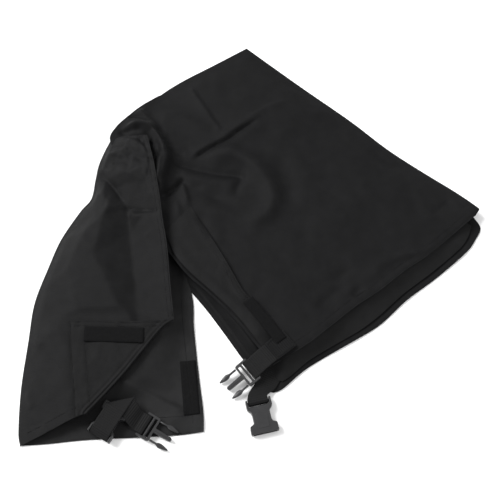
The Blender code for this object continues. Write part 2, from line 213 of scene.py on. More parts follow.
def rolled_edge(gap, radius):
    """Height lost close to a folded edge, where the cloth turns over."""
    t = np.clip(1 - gap / radius, 0, 1)
    return radius * (1 - np.sqrt(1 - t * t))


class Net:
    """Cloth stretched in flat facets between named points: (x, y, height)."""

    def __init__(self, points, folds):
        names = list(points)
        place_of = {name: i for i, name in enumerate(names)}
        edges = []
        for fold in folds:
            run = fold.split()
            edges += [(place_of[a], place_of[b]) for a, b in zip(run, run[1:])]
        coords = [Vector(points[name][:2]) for name in names]
        verts, _, faces, origins, _, _ = delaunay_2d_cdt(coords, edges, [], 0, 1e-4)
        self.faces = faces
        self.xy = np.array([tuple(v) for v in verts])
        self.z = np.array([points[names[o[0]]][2] if o else 0.0 for o in origins])

    def height(self, x, y):
        out = np.zeros(np.shape(x))
        for face in self.faces:
            (ax, ay), (bx, by), (cx, cy) = self.xy[list(face)]
            area = (bx - ax) * (cy - ay) - (cx - ax) * (by - ay)
            if abs(area) < 1e-9:
                continue
            wb = ((x - ax) * (cy - ay) - (cx - ax) * (y - ay)) / area
            wc = ((bx - ax) * (y - ay) - (x - ax) * (by - ay)) / area
            wa = 1 - wb - wc
            inside = (wa >= -1e-6) & (wb >= -1e-6) & (wc >= -1e-6)
            za, zb, zc = self.z[list(face)]
            out = np.where(inside, wa * za + wb * zb + wc * zc, out)
        return out


def relax(z, rounds):
    """Round off the facets a little."""
    for _ in range(rounds):
        inner = (z[1:-1, :-2] + z[1:-1, 2:] + z[:-2, 1:-1] + z[2:, 1:-1]) / 4
        z[1:-1, 1:-1] = 0.5 * z[1:-1, 1:-1] + 0.5 * inner
    return z


# ---------------------------------------------------------------- mesh building
def new_object(name, mesh, finish, body="root"):
    piece = bpy.data.objects.new(name, mesh)
    bpy.context.scene.collection.objects.link(piece)
    mesh.materials.clear()
    mesh.materials.append(finish)
    mesh.shade_smooth()
    if body:
        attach(piece, body)
    return piece


def new_mesh(name, points, faces):
    """A mesh from points in layout millimetres."""
    mesh = bpy.data.meshes.new(name)
    verts = (np.asarray(points) + np.array(LAYOUT_SHIFT)) / 1000.0
    mesh.from_pydata(verts.tolist(), [], faces)
    return mesh


def grid_mesh(name, points):
    """A mesh over rows of points."""
    rows, columns = points.shape[:2]
    index = np.arange(rows * columns).reshape(rows, columns)
    quads = np.stack([index[:-1, :-1], index[:-1, 1:], index[1:, 1:], index[1:, :-1]], axis=-1)
    return new_mesh(name, points.reshape(-1, 3), quads.reshape(-1, 4).tolist())


def solid_cloth(piece, thick):
    """Give a sheet its thickness, downwards from its upper face."""
    solid = piece.modifiers.new("thickness", "SOLIDIFY")
    solid.thickness = thick / 1000.0
    solid.offset = -1.0
    edges = piece.modifiers.new("soft_rim", "BEVEL")
    edges.width = thick * RIM / 1000.0
    edges.segments = 2
    edges.limit_method = "ANGLE"
    edges.angle_limit = math.radians(50)
    apply_modifiers(piece)
    piece.data.shade_smooth()


def apply_modifiers(piece):
    bpy.context.view_layer.update()
    graph = bpy.context.evaluated_depsgraph_get()
    mesh = bpy.data.meshes.new_from_object(piece.evaluated_get(graph))
    old = piece.data
    piece.modifiers.clear()
    piece.data = mesh
    bpy.data.meshes.remove(old)


class Cloth:
    """One layer: its plan grid, its height function, and the piece made from them."""

    def __init__(self, name, sides, u, v, height, smoothing=2):
        self.name = name
        self.plan = coons(*sides, u, v)
        x, y = self.plan[..., 0], self.plan[..., 1]
        self.z = relax(height(x, y), smoothing)

    def points(self):
        return np.dstack([self.plan, self.z])

    def area(self):
        p = self.points()
        across = np.cross(p[1:, 1:] - p[:-1, :-1], p[1:, :-1] - p[:-1, 1:])
        return float(np.linalg.norm(across, axis=-1).sum() / 2) / 1e6

    def probe(self, places):
        """Heights of the sheet's upper face under a list of plan points."""
        grid = self.plan.reshape(-1, 2)
        z = self.z.ravel()
        out = []
        for place_xy in np.asarray(places)[:, :2]:
            gap = ((grid - place_xy) ** 2).sum(axis=1)
            near = np.argpartition(gap, 4)[:4]
            weight = 1.0 / (gap[near] + 0.05)
            out.append(float((z[near] * weight).sum() / weight.sum()))
        return np.array(out)

    def build(self, node, finish, thick=CLOTH, body="root"):
        """The piece that stands for a CAD node."""
        mesh = grid_mesh(self.name, self.points())
        self.piece = new_object(self.name, mesh, finish, body)
        solid_cloth(self.piece, thick)
        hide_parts(node)


def stitches(name, runs, body="root"):
    """Lockstitch thread along 3-D runs that lie on the cloth."""
    verts, faces = [], []
    # each stitch is a spindle of four rings: place along it, swelling, lift
    rings = ((-0.42, 0.55, -0.20), (-0.18, 1.0, 0.12), (0.18, 1.0, 0.12), (0.42, 0.55, -0.20))
    sides = 5
    for run in runs:
        run = np.asarray(run, float)
        total = lengths(run)[-1]
        count = max(1, int(total / STITCH))
        ends = at(run, np.linspace(0, 1, count + 1))
        for start, end in zip(ends, ends[1:]):
            along = end - start
            size = np.linalg.norm(along)
            if size < 1e-6:
                continue
            along = along / size
            across = np.cross(along, (0, 0, 1))
            across /= max(np.linalg.norm(across), 1e-6)
            up = np.cross(across, along)
            first = len(verts)
            for shift, swell, lift in rings:
                middle = (start + end) / 2 + along * size * shift + up * lift
                for k in range(sides):
                    angle = 2 * math.pi * k / sides
                    verts.append(middle + THREAD_RADIUS * swell
                                 * (across * math.cos(angle) + up * math.sin(angle)))
            for ring in range(len(rings) - 1):
                a = first + ring * sides
                for k in range(sides):
                    n = (k + 1) % sides
                    faces.append((a + k, a + n, a + sides + n, a + sides + k))
            faces.append(tuple(first + k for k in reversed(range(sides))))
            last = first + (len(rings) - 1) * sides
            faces.append(tuple(last + k for k in range(sides)))
    return new_object(name, new_mesh(name, verts, faces), THREAD, body)


def offset_line(line, distance):
    """A plan line moved to its left by a distance."""
    line = np.asarray(line, float)
    along = np.gradient(line, axis=0)
    along /= np.linalg.norm(along, axis=1)[:, None]
    return line + distance * np.stack([-along[:, 1], along[:, 0]], axis=1)


def seams(cloth, edge, rows, first, last, side=1):
    """Rows of stitching on a cloth, left of an edge (right of it if side is -1)."""
    runs = []
    for row in rows:
        line = offset_line(edge, side * row)[first:last]
        z = cloth.probe(line)
        z = np.convolve(np.pad(z, 2, mode="edge"), np.ones(5) / 5, mode="valid")
        runs.append(np.column_stack([line, z + THREAD_LIFT]))
    return runs


# ---------------------------------------------------------------- finishes
def new_material(name, colour, roughness, specular):
    made = bpy.data.materials.new(name)
    made.use_nodes = True
    shader = made.node_tree.nodes["Principled BSDF"]
    shader.inputs["Base Color"].default_value = (*colour, 1.0)
    shader.inputs["Roughness"].default_value = roughness
    shader.inputs["Specular IOR Level"].default_value = specular
    return made, shader


def add_bump(made, shader, height, strength, distance):
    bump = made.node_tree.nodes.new("ShaderNodeBump")
    bump.inputs["Strength"].default_value = strength
    bump.inputs["Distance"].default_value = distance / 1000.0
    made.node_tree.links.new(height, bump.inputs["Height"])
    made.node_tree.links.new(bump.outputs["Normal"], shader.inputs["Normal"])


def mottled(made, shader, colour, spread, scale):
    """Slight unevenness of the colour. Returns the coordinates, for the relief to use too."""
    tree = made.node_tree
    where = tree.nodes.new("ShaderNodeTexCoord")
    noise_map = tree.nodes.new("ShaderNodeTexNoise")
    noise_map.inputs["Scale"].default_value = scale
    noise_map.inputs["Detail"].default_value = 6.0
    levels = tree.nodes.new("ShaderNodeValToRGB")
    levels.color_ramp.elements[0].position = 0.3
    levels.color_ramp.elements[1].position = 0.7
    levels.color_ramp.elements[0].color = (*[c * (1 - spread) for c in colour], 1.0)
    levels.color_ramp.elements[1].color = (*[c * (1 + spread) for c in colour], 1.0)
    tree.links.new(where.outputs["Object"], noise_map.inputs["Vector"])
    tree.links.new(noise_map.outputs["Fac"], levels.inputs["Fac"])
    tree.links.new(levels.outputs["Color"], shader.inputs["Base Color"])
    return where


def woven(name, colour, roughness, specular, pitch, bump, rib=0.0):
    """Woven cloth: fine threads both ways, and (if rib is set) stronger threads across."""
    made, shader = new_material(name, colour, roughness, specular)
    where = mottled(made, shader, colour, 0.12, 70.0)
    tree = made.node_tree
    waves = []
    for direction, size in (("X", pitch), ("Y", pitch), ("Y", pitch * 4)):
        wave = tree.nodes.new("ShaderNodeTexWave")
        wave.bands_direction = direction
        wave.inputs["Scale"].default_value = 2 * math.pi / (20 * size / 1000.0)
        wave.inputs["Distortion"].default_value = 1.5
        wave.inputs["Detail"].default_value = 2.0
        wave.inputs["Detail Scale"].default_value = 1.0
        tree.links.new(where.outputs["Object"], wave.inputs["Vector"])
        waves.append(wave.outputs["Fac"])
    both = tree.nodes.new("ShaderNodeMath")
    both.operation = "ADD"
    tree.links.new(waves[0], both.inputs[0])
    tree.links.new(waves[1], both.inputs[1])
    total = tree.nodes.new("ShaderNodeMath")
    total.operation = "MULTIPLY_ADD"
    total.inputs[1].default_value = rib
    tree.links.new(waves[2], total.inputs[0])
    tree.links.new(both.outputs[0], total.inputs[2])
    add_bump(made, shader, total.outputs[0], 0.6, bump)
    return made


def grained(name, colour, roughness, specular, scale, bump):
    """Fine-grained finish of mouldings, thread and pile."""
    made, shader = new_material(name, colour, roughness, specular)
    where = mottled(made, shader, colour, 0.10, scale / 6.0)
    grain = made.node_tree.nodes.new("ShaderNodeTexNoise")
    grain.inputs["Scale"].default_value = scale
    grain.inputs["Detail"].default_value = 3.0
    made.node_tree.links.new(where.outputs["Object"], grain.inputs["Vector"])
    add_bump(made, shader, grain.outputs["Fac"], 0.5, bump)
    return made


SHELL = woven("nylon_shell_cloth", (0.0063, 0.0063, 0.0066), 0.60, 0.07, 0.6, 0.09)
SLEEVE = woven("nylon_sleeve_cloth", (0.0080, 0.0080, 0.0083), 0.58, 0.08, 0.48, 0.11, rib=1.4)
# Coated inner face: its own lighter tone, plus painted light. The colour is raised further to make
# up for the shade the corner flap casts on the sleeve's lower layer.
COATED_PAINTED_LIGHT = woven("coated_inner_face_painted_light", (0.0114, 0.0114, 0.0117), 0.52, 0.09, 0.6, 0.08)
LINING = woven("lining_face", (0.0076, 0.0076, 0.0078), 0.58, 0.07, 0.6, 0.10)
# Inner bag face: painted light. Its colour is raised above the cloth's own tone to make up for the
# shade under the mouth's upper hem.
INNER = woven("inner_bag_face_painted_light", (0.0096, 0.0096, 0.0098), 0.58, 0.07, 0.6, 0.10)
WEB = grained("webbing_yarn", (0.0072, 0.0072, 0.0074), 0.66, 0.10, 2500.0, 0.08)
PILE = grained("hook_and_loop_pile", (0.0056, 0.0056, 0.0058), 0.95, 0.06, 1600.0, 0.25)
THREAD = grained("sewing_thread", (0.0080, 0.0080, 0.0083), 0.65, 0.12, 3000.0, 0.05)
MOULDED = grained("acetal_moulding", (0.021, 0.021, 0.022), 0.40, 0.26, 900.0, 0.02)


# ---------------------------------------------------------------- the body's cloth
BODY_FOLD = np.vstack([smooth(RIGHT_FOLD, 6, sharp=(1,)), smooth(UPPER_FOLD[::-1][:4], 6)[1:]])
MOUTH_EDGE = smooth(MOUTH_TOP, 3)
LAPEL_FOLD = [(5, -173), (-28, -129), (-61, -95), (-90, -68), (-110, -42), (-124, -8)]
LAPEL_FREE = [(33, -157), (8, -122), (-17, -98), (-29, -78), (-44, -50), (-71, -2), (-90, 30)]
LOWER_MOUTH = [(-89, -87), (-65, -117), (-42, -149), (-24, -175), (4, -212), (22, -220),
               (62, -188), (129, -148), (156, -130), (190, -98), (232, -66), (272, -31),
               (286, -13), (295, 5), (288, 20)]


LINER_MOUTH = [(10, -184), (22, -204), (32, -205), (62, -180), (94, -160), (126, -141),
               (152, -121), (186, -90), (226, -59), (262, -28), (276, -10), (283, 8)]
TUCK = [(-93, 106), (-69, 123), (-46, 137), (-29, 152), (-8, 167), (4, 178)]
SLIT_ROLL = [(-96, -66), (-62, -115), (-38, -146), (-20, -172), (7, -210)]


def hem_relief(x, y, edge, width, rows, seed, height):
    """A turned hem: slightly raised, with sunk rows of stitching that pucker it."""
    gap, _, share = to_line(x, y, edge)
    run = share * lengths(np.asarray(edge, float)[:, :2])[-1]
    z = height * (1 - ramp(gap, width - 0.4, width + 1.4))
    for row in rows:
        near = np.exp(-((gap - row) / 1.1) ** 2)
        pull = np.empty(np.shape(x))
        flat = pull.ravel()
        for i, (s, g) in enumerate(zip(np.ravel(run), np.ravel(gap))):
            flat[i] = noise.noise(Vector((s / 6.5, g / 14.0, seed + row)))
        z = z - 0.45 * near + 0.55 * pull * np.exp(-((gap - row) / 5.0) ** 2)
    return z


# What stands out of the body, or is sunk in it
BODY_RELIEF = [
    # the deep tuck, whose upper lip hangs over its lower side
    (crease, TUCK, 3.0, 12, 1.2, ROUND, 0.12, 0.25),
    (crease, offset_line(smooth(TUCK, 4), -2.2), -2.9, 1.0, 3.0, SHARP, 0.12, 0.3),
    (crease, offset_line(smooth(TUCK, 4), -13.0), 1.3, 7, 9, ROUND),
    # creases from storage
    (crease, [(-97, 228), (-75, 189), (-50, 146)], 1.9, 1.0, 10, SHARP, 0.1, 0.1),
    (crease, [(-20, 168), (10, 188), (44, 204)], 1.5, 3, 8, SHARP),
    # the arched bulge beside the shoulder
    (crease, [(-78, 100), (-62, 106), (-35, 111), (-8, 93), (11, 69), (19, 43), (12, 21),
             (-12, 7), (-30, 2)], 5.4, 12, 12, ROUND, 0.2, 0.25),
    (crease, [(-124, 100), (-102, 92), (-62, 82), (-18, 76)], -5.0, 9, 3.0, SHARP, 0.2, 0.05),
    (crease, [(-112, 82), (-80, 72), (-40, 66), (-18, 62)], 2.2, 6, 12, ROUND),
    (crease, [(-20, 76), (-29, 56), (-30, 38)], -2.2, 4, 6, ROUND, 0.1, 0.5),
    (crease, [(18, 118), (34, 90), (40, 58), (30, 22)], -2.2, 14, 16, ROUND),
    (crease, [(-134, 42), (-117, 56), (-103, 72)], -6.5, 2.2, 6.0, SHARP, 0.1, 0.05),
    (crease, [(-104, 68), (-97, 46), (-92, 24)], 3.0, 2.6, 6, ROUND, 0.1, 0.4),
    (crease, [(-112, 40), (-108, 28), (-106, 12)], 1.4, 4, 5, ROUND),
    (crease, [(-86, 24), (-71, -2), (-58, -26)], -2.4, 7, 3, ROUND, 0.3, 0.3),
    (mound, (-84, 58), (11, 6), -1.6, 20),
    (mound, (-60, 45), (16, 6), -1.7, -20),
    (mound, (-48, 20), (22, 9), 1.5, -15),
    # the bunched edge along the sleeve
    (crease, [(-190, 150), (-171, 155), (-155, 154), (-141, 139), (-132, 123), (-126, 108),
             (-127, 92), (-131, 70), (-131, 44), (-129, 14)], 11.0, 7, 18, ROUND, 0.12, 0.35),
    (crease, [(-190, 150), (-171, 155), (-155, 154), (-141, 139), (-131, 122),
             (-127, 104)], 3.0, 1.8, 4.0, SHARP, 0.15, 0.1),
    # the facet that runs up to the corner of the upper fold
    (crease, [(-167, 189), (-157, 176), (-147, 162), (-137, 146)], 4.2, 2.6, 11, SHARP, 0.1, 0.2),
    (crease, [(-182, 172), (-170, 174), (-157, 171)], -2.6, 1.8, 3.0, SHARP, 0.1, 0.2),
    (crease, [(-158, 143), (-150, 131), (-146, 117)], -4.4, 1.6, 2.6, SHARP),
    (crease, [(-142, 126), (-136, 113), (-139, 98)], -4.0, 1.6, 2.4, SHARP),
    (crease, [(-129, 106), (-133, 96), (-134, 77), (-137, 58)], 3.2, 1.6, 2.6, SHARP),
    (crease, [(-124, 116), (-108, 112), (-100, 110)], -1.8, 3, 3, ROUND),
    (crease, [(-196, 146), (-178, 147), (-160, 146)], -4.0, 2.0, 3.0, SHARP),
    (crease, [(-188, 165), (-172, 168), (-156, 170)], 1.4, 4, 5, ROUND),
    # the light band that runs from the upper left corner
    (crease, [(-151, 180), (-104, 168), (-62, 146)], 2.6, 10, 12, ROUND),
    # creases across the right half
    (crease, [(226, 17), (244, 32), (258, 46)], -1.6, 3, 7),
    (crease, [(172, -42), (209, -36), (236, -24)], 1.6, 5, 7, ROUND),
    (crease, [(150, -62), (190, -50), (222, -34)], -1.2, 5, 6, ROUND),
    (crease, [(60, -20), (120, 30), (170, 62)], 1.6, 20, 26, ROUND),
    (crease, [(190, 66), (206, 40), (212, 8)], -1.3, 9, 12, ROUND),
    (crease, [(150, 130), (176, 100), (200, 90)], -1.2, 8, 9, ROUND),
    (crease, [(30, 120), (90, 150), (128, 152)], -1.2, 16, 20, ROUND),
    (crease, [(70, -120), (98, -92), (120, -84)], -1.4, 6, 9, ROUND),
    (mound, (124, -93), (8, 5), -2.4, 35),
    (mound, (105, -71), (14, 8), -1.3, 35),
    (mound, (149, -66), (16, 9), 1.4, 35),
    (mound, (184, -50), (18, 9), -1.3, 35),
]

def body_base(x, y):
    """The body's upper layer without its folds. It rises more slowly from the upper left."""
    right = to_line(x, y, smooth(RIGHT_FOLD, 6, sharp=(1,)))[0]
    left = to_line(x, y, smooth(UPPER_FOLD[::-1][:4], 6))[0]
    return 2.4 + 17.0 * (1 - np.exp(-right / 45.0)) * (1 - np.exp(-left / 75.0))


def body_height(x, y):
    gap = to_line(x, y, BODY_FOLD)[0]
    corner = np.hypot(x - 290, y - 24)
    z = body_base(x, y) - rolled_edge(gap, 1.8)
    z = z + 13.0 * np.exp(-(corner / 42.0) ** 1.5) * np.exp(-gap / 60.0)
    bends = relief(x, y, BODY_RELIEF)
    limp = (rumple(x, y, 95.0, 2.4, 3.1) + rumple(x, y, 34.0, 0.5, 7.7)
            + rumple(x, y, 13.0, 0.15, 2.3) + rumple(x, y, 5.0, 0.06, 4.3))
    shoulder = np.exp(-((x + 152) / 26.0) ** 2 - ((y - 128) / 42.0) ** 2)
    crumple = rumple(x, y, 15.0, 2.2, 61.0) * shoulder
    z = z + (BODY_DEPTH * bends + crumple) * ramp(gap, 0, 12) + limp * ramp(gap, 0, 22)
    z = z + hem_relief(x, y, MOUTH_EDGE, HEM, MOUTH_ROWS, 5.5, 0.4) * ramp(gap, 0, 6)
    return np.maximum(z, 1.2)


def floor_sheet(edge, seed):
    """The body's lower layer: on the table, puffed up just inside its slit edge."""
    def height(x, y):
        gap, _, share = to_line(x, y, edge)
        aside, _, along = to_line(x, y, SLIT_ROLL)
        z = 1.05 + 0.9 * np.exp(-gap / 9.0) * (0.6 + 0.4 * np.sin(share * 37.0 + seed))
        puff = 9.5 * np.exp(-((aside - 17) / 9.0) ** 2)
        z = z + puff * ramp(1 - along, 0.02, 0.3) * ramp(gap, 2, 14)
        z = z + np.maximum(rumple(x, y, 40.0, 0.5, seed), -0.1)
        return np.maximum(z + hem_relief(x, y, edge, 9.0, (2.2, 8.0), seed, 0.6), FLOOR_CLOTH)
    return height


def liner_height(x, y):
    return 3.8 + 0.34 * (body_base(x, y) - 4.5) + rumple(x, y, 50, 0.3, 9.0)


def flat_liner(x, y):
    """The inner bag's lower layer stands up towards the mouth's upper hem."""
    gap = to_line(x, y, smooth(LINER_MOUTH, 4))[0]
    side = to_line(x, y, BODY_FOLD)[0]
    z = 3.4 + 11.0 * ramp(gap, -4, 30) * (1 - ramp(gap, 29, 41)) * ramp(side, 4, 30)
    z = z + 0.5 * np.exp(-((gap - 5) / 2.5) ** 2)
    fine = rumple(x, y, 30.0, 1.0, 4.0) + rumple(x, y, 11.0, 0.35, 4.5)
    z = z + np.maximum(fine * ramp(gap, 0, 8), -0.3)
    return np.maximum(np.minimum(z, body_base(x, y) - 3.4), 2.6)


def lapel_height(x, y):
    """Dips at the mouth end, and runs into the body's upper layer at the other."""
    fold = smooth(LAPEL_FOLD, 4)
    free = smooth(LAPEL_FREE, 4)
    gap = to_line(x, y, fold)[0]
    share = to_line(x, y, free)[2]
    z = 23.6 - rolled_edge(gap, 2.6) + rumple(x, y, 30.0, 0.8, 8.8) + rumple(x, y, 12.0, 0.25, 8.1)
    z = z + 1.2 * np.exp(-((gap - 9) / 6.0) ** 2) - 1.2 * ramp(gap, 20, 42)
    z = z + hem_relief(x, y, free, 9.0, NARROW_ROWS, 1.7, 0.6)
    z = z - 4.0 * ramp(0.12 - share, 0.0, 0.11)
    rise = ramp(share, 0.62, 0.98)
    return (1 - rise) * z + rise * (body_height(x, y) + 0.5)


def curves(*lines):
    return [smooth(line, 3) for line in lines]


def build_body():
    rows = shares(520, 2.6, near_start=(0.6, 1.3, 2.2, 3.2), near_end=(0.6, 1.3, 2.2, 3.4))
    columns = shares(350, 2.6, near_start=(0.6, 1.4), near_end=(0.5, 1.0, 1.6, 2.4, 3.4))
    sides = curves(MOUTH_TOP, UPPER_FOLD, BODY_INNER_SIDE) + [smooth(RIGHT_FOLD, 3, sharp=(1,))]
    upper = Cloth("body_upper_cloth", sides, columns, rows, body_height)
    upper.build("body_upper_panel", SHELL)

    sides = curves(LOWER_MOUTH, [(-166, 186), (-107, 237), (-17, 295)],
                   [(-88, -86), (-122, 10), (-150, 100), (-166, 186)],
                   [(288, 20), (254, 62), (180, 121), (127, 170), (57, 229), (-17, 295)])
    mouth = sides[0]
    lower = Cloth("body_lower_cloth", sides, shares(560, 3.2, (0.6, 1.4), (0.6, 1.4)),
                  shares(380, 3.2, (0.7, 1.5, 2.4), (1.0,)), floor_sheet(mouth, 0.6), 1)
    lower.build("body_lower_panel", SHELL)

    back = [(-14, -122), (-75, -62), (-98, -15), (-108, 50), (-120, 130), (-135, 185)]
    top = [(-135, 185), (-98, 208), (-17, 258)]
    sides = curves(LINER_MOUTH, top, LINER_MOUTH[:1] + back,
                   [(283, 8), (246, 38), (160, 104), (-17, 258)])
    liner = Cloth("inner_bag_lower_cloth", sides, shares(300, 4, (0.6,), (0.6,)),
                  shares(300, 4, (0.6, 1.4), (1.0,)), flat_liner, 1)
    # Painted light: the inner bag's lower layer is coloured lighter to make up for the shade under
    # the upper hem.
    liner.build("inner_bag_lower", INNER, LINER)
    inner = [(15, -150), (40, -150), (120, -98), (210, -22), (258, 14)]
    sides = curves(inner, top, inner[:1] + back, [(258, 14), (246, 32), (160, 100), (-17, 258)])
    liner_top = Cloth("inner_bag_upper_cloth", sides, shares(300, 5), shares(300, 5),
                      liner_height, 1)
    liner_top.build("inner_bag_upper", COATED_PAINTED_LIGHT, LINER)

    ends = [smooth([LAPEL_FOLD[k], LAPEL_FREE[k]], 2) for k in (0, -1)]
    sides = ends + curves(LAPEL_FOLD, LAPEL_FREE)
    lapel = Cloth("body_lapel_cloth", sides, shares(34, 1.6, (0.3, 0.7, 1.2, 1.9, 2.7), (0.5, 1.1)),
                  shares(190, 1.8, (0.5,), (0.5,)), lapel_height, 1)
    lapel.build("body_slit_lapel", LINING)

    upper_thread = [stitches("body_hem_stitches", seams(upper, MOUTH_EDGE, MOUTH_ROWS, 2, -2))]
    lower_thread = [stitches(f"lower_hem_stitches_{row:.0f}", seams(lower, mouth, [row], 3, -3))
                    for row in MOUTH_ROWS]
    lapel_thread = [stitches("lapel_stitches", seams(lapel, sides[3], NARROW_ROWS, 1, -1))]


# ---------------------------------------------------------------- the sleeve's cloth
SLEEVE_EDGE = smooth(SLEEVE_LEFT, 4)
FREE = smooth(FREE_EDGE, 3)
FOLD = smooth(FOLD_LINE, 3)
SLEEVE_NET = Net({
    # edges, with no change of height
    "l0": (-288, -284, 0), "l1": (-294, -215, 0), "l2": (-291, -155, 0), "l3": (-287, -103, 0),
    "l4": (-262, -14, 0), "l5": (-229, 44, 0), "l6": (-221, 76, 0), "l7": (-218, 99, 0),
    "l8": (-205, 139, 0), "f0": (-206, -254, 1.5), "f1": (-106, -133, 3), "f2": (-117, -33, 8),
    "f3": (-127, 18, 7), "f4": (-140, 90, 3), "f5": (-151, 134, 2), "b1": (-256, -275, 0),
    # the long crest, and the valley beside it
    "r1": (-230, -12, 8), "r2": (-214, -44, 8), "r3": (-197, -75, 6.5), "r4": (-182, -108, 5.5),
    "r5": (-167, -134, 4), "r0": (-206, 13, 7), "v0": (-174, 29, -3.5), "v1": (-170, -6, -4.5),
    "v2": (-161, -71, -3.5), "v3": (-153, -135, -1), "s1": (-266, -80, 2.5), "s2": (-264, -150, 4),
    "s3": (-240, -200, 2), "s4": (-246, -60, 6.5), "s5": (-226, -130, 5),
    # the light triangle at the elbow, and the V of creases above it
    "e1": (-221, 47, 2.5), "e2": (-209, 49, 6.5), "e3": (-199, 29, 6.5), "e4": (-217, 17, 5),
    "w1": (-206, 72, 1), "w2": (-193, 58, -1.5), "c5": (-151, 25, -1.5), "c6": (-150, 17, 2.5),
    "c7": (-166, 14, 1.5),
    # the bunched top
    "a1": (-211, 88, 2), "a2": (-190, 77, 4), "a3": (-172, 75, 4.5), "a4": (-152, 84, 3.5),
    "a5": (-176, 62, 0), "a6": (-152, 62, 1), "t1": (-204, 108, 3), "t2": (-190, 98, -0.5),
    "t3": (-184, 112, 3), "t4": (-170, 104, 0), "t5": (-196, 126, 0.5), "t6": (-176, 128, 3.5),
    "t7": (-160, 118, 3.5), "t8": (-158, 98, -0.5), "t9": (-162, 130, 0),
}, ["r0 r1 r2 r3 r4 r5", "v0 v1 v2 v3", "e1 e2 e3 r0", "e4 r0", "e4 e1", "v0 c5 f3", "c7 c6 f3",
    "w1 w2 v0", "a1 a2 a3 a4 f4", "a2 a5 a3", "f0 f1 f2 f3 f4 f5", "l0 l1 l2 l3 l4 l5 l6 l7 l8",
    "s4 r2", "s1 s2 s3", "l4 r1", "s5 s2", "s5 r4", "t1 t3 t6", "t2 t4 t8", "t3 t4", "t7 t8",
    "t6 t7 f5", "t1 t5", "e2 w2", "e3 v0"])


# Sharper creases over the facets
SLEEVE_RELIEF = [
    (crease, [(-180, 30), (-166, 26), (-150, 23), (-130, 18)], -3.4, 1.4, 3.4, SHARP, 0.1, 0.1),
    (crease, [(-216, 88), (-206, 74), (-193, 58), (-178, 34)], -3.6, 1.8, 6.0, SHARP, 0.1, 0.2),
    (crease, [(-168, 137), (-158, 124), (-149, 104), (-144, 78)], -3.0, 2.6, 3.0, ROUND),
    (crease, [(-210, 110), (-190, 106), (-172, 96)], 2.4, 2.4, 3.2, SHARP),
    (crease, [(-206, 122), (-184, 118), (-166, 108)], -2.2, 2.2, 3.0, SHARP),
    (crease, [(-206, 95), (-190, 88), (-176, 90)], 2.2, 2.2, 3.2, SHARP),
    (crease, [(-202, 50), (-203, 38), (-206, 26)], -1.6, 1.8, 2.4, SHARP),
    (crease, [(-150, 84), (-152, 74), (-146, 62)], 1.2, 2.4, 3.0, ROUND),
    (crease, [(-136, -8), (-150, -16), (-160, -20)], 0.9, 2.4, 4.0, ROUND),
    (crease, [(-285, -156), (-277, -158), (-270, -162)], 1.4, 3, 5, ROUND),
    (crease, [(-289, -219), (-282, -232), (-276, -247)], 2.0, 4, 5, ROUND),
    (crease, [(-264, -262), (-258, -268), (-252, -276)], 1.6, 3, 4, ROUND),
    (crease, [(-253, -18), (-273, -88), (-281, -154)], 1.8, 8, 10, ROUND),
    (crease, [(-250, -120), (-228, -170), (-222, -215)], 1.2, 10, 14, ROUND),
]


def sleeve_height(x, y):
    gap = to_line(x, y, SLEEVE_EDGE)[0]
    bunch = 14.0 * np.exp(-((x + 150) ** 2 + (y - 110) ** 2) / (2 * 55.0 ** 2))
    z = 2.4 + 15.0 * (1 - np.exp(-gap / 35.0)) + bunch - rolled_edge(gap, 1.8)
    bends = NET_DEPTH * SLEEVE_NET.height(x, y) + relief(x, y, SLEEVE_RELIEF)
    limp = (rumple(x, y, 60.0, 1.4, 13.0) + rumple(x, y, 22.0, 0.5, 17.0)
            + rumple(x, y, 9.0, 0.15, 19.0))
    shoulder = np.exp(-((x + 182) / 34.0) ** 2 - ((y - 100) / 34.0) ** 2)
    crumple = rumple(x, y, 14.0, 2.0, 63.0) * shoulder
    z = z + (bends + crumple) * ramp(gap, 0, 10) + limp * ramp(gap, 0, 14)
    z = z + hem_relief(x, y, FREE, 9.0, NARROW_ROWS, 21.0, 0.5)
    hem = smooth(SLEEVE_BOTTOM, 3)
    z = z + hem_relief(x, y, hem, HEM, SLEEVE_HEM_ROWS, 23.0, 0.6) * ramp(gap, 0, 8)
    under_flap = 20.4 + 14.0 * ramp(y, -128, -92)
    return np.clip(z, 1.2, under_flap)


LOWER_HEM = [(-288, -287), (-257, -285), (-209, -280), (-146, -277), (-97, -274), (-68, -270)]
LOWER_RIGHT = [(-68, -270), (-69, -245), (-76, -195), (-83, -137), (-88, -86), (-122, 10),
               (-150, 100)]


def sleeve_floor_height(x, y):
    hem = smooth(LOWER_HEM, 3)
    side = smooth(LOWER_RIGHT[:5], 3)
    gap = to_line(x, y, hem)[0]
    side_gap = to_line(x, y, side)[0]
    fold_gap = to_line(x, y, FOLD)[0]
    z = 1.05 + 0.3 * np.exp(-((gap - 11) / 9.0) ** 2) + 0.8 * np.exp(-side_gap / 8.0)
    z = z + 13.0 * np.exp(-((fold_gap - 4) / 30.0) ** 2) * ramp(gap, 38, 72) * ramp(side_gap, 6, 45)
    z = z + crease(x, y, [(-171, -207), (-135, -223), (-84, -248)], 3.6, 1.6, 22, SHARP, 0.05, 0.2)
    z = z + crease(x, y, [(-150, -150), (-128, -190), (-112, -222)], 0.9, 12, 10, ROUND)
    limp = np.maximum(rumple(x, y, 38.0, 0.9, 31.0), -0.2) * ramp(gap, 10, 40)
    z = z + limp + rumple(x, y, 14.0, 0.15, 33.0)
    z = z + hem_relief(x, y, hem, 24.0, LOWER_HEM_ROWS, 35.0, 0.5)
    z = z + hem_relief(x, y, side, 15.0, LOWER_SIDE_ROWS, 37.0, 0.4)
    return np.maximum(z, FLOOR_CLOTH)


FLAP_HEM = [(-223, -257), (-226, -232), (-231, -200), (-236, -165), (-239, -134)]
FLAP_TOP = [(-239, -134), (-205, -134), (-160, -135), (-107, -133)]


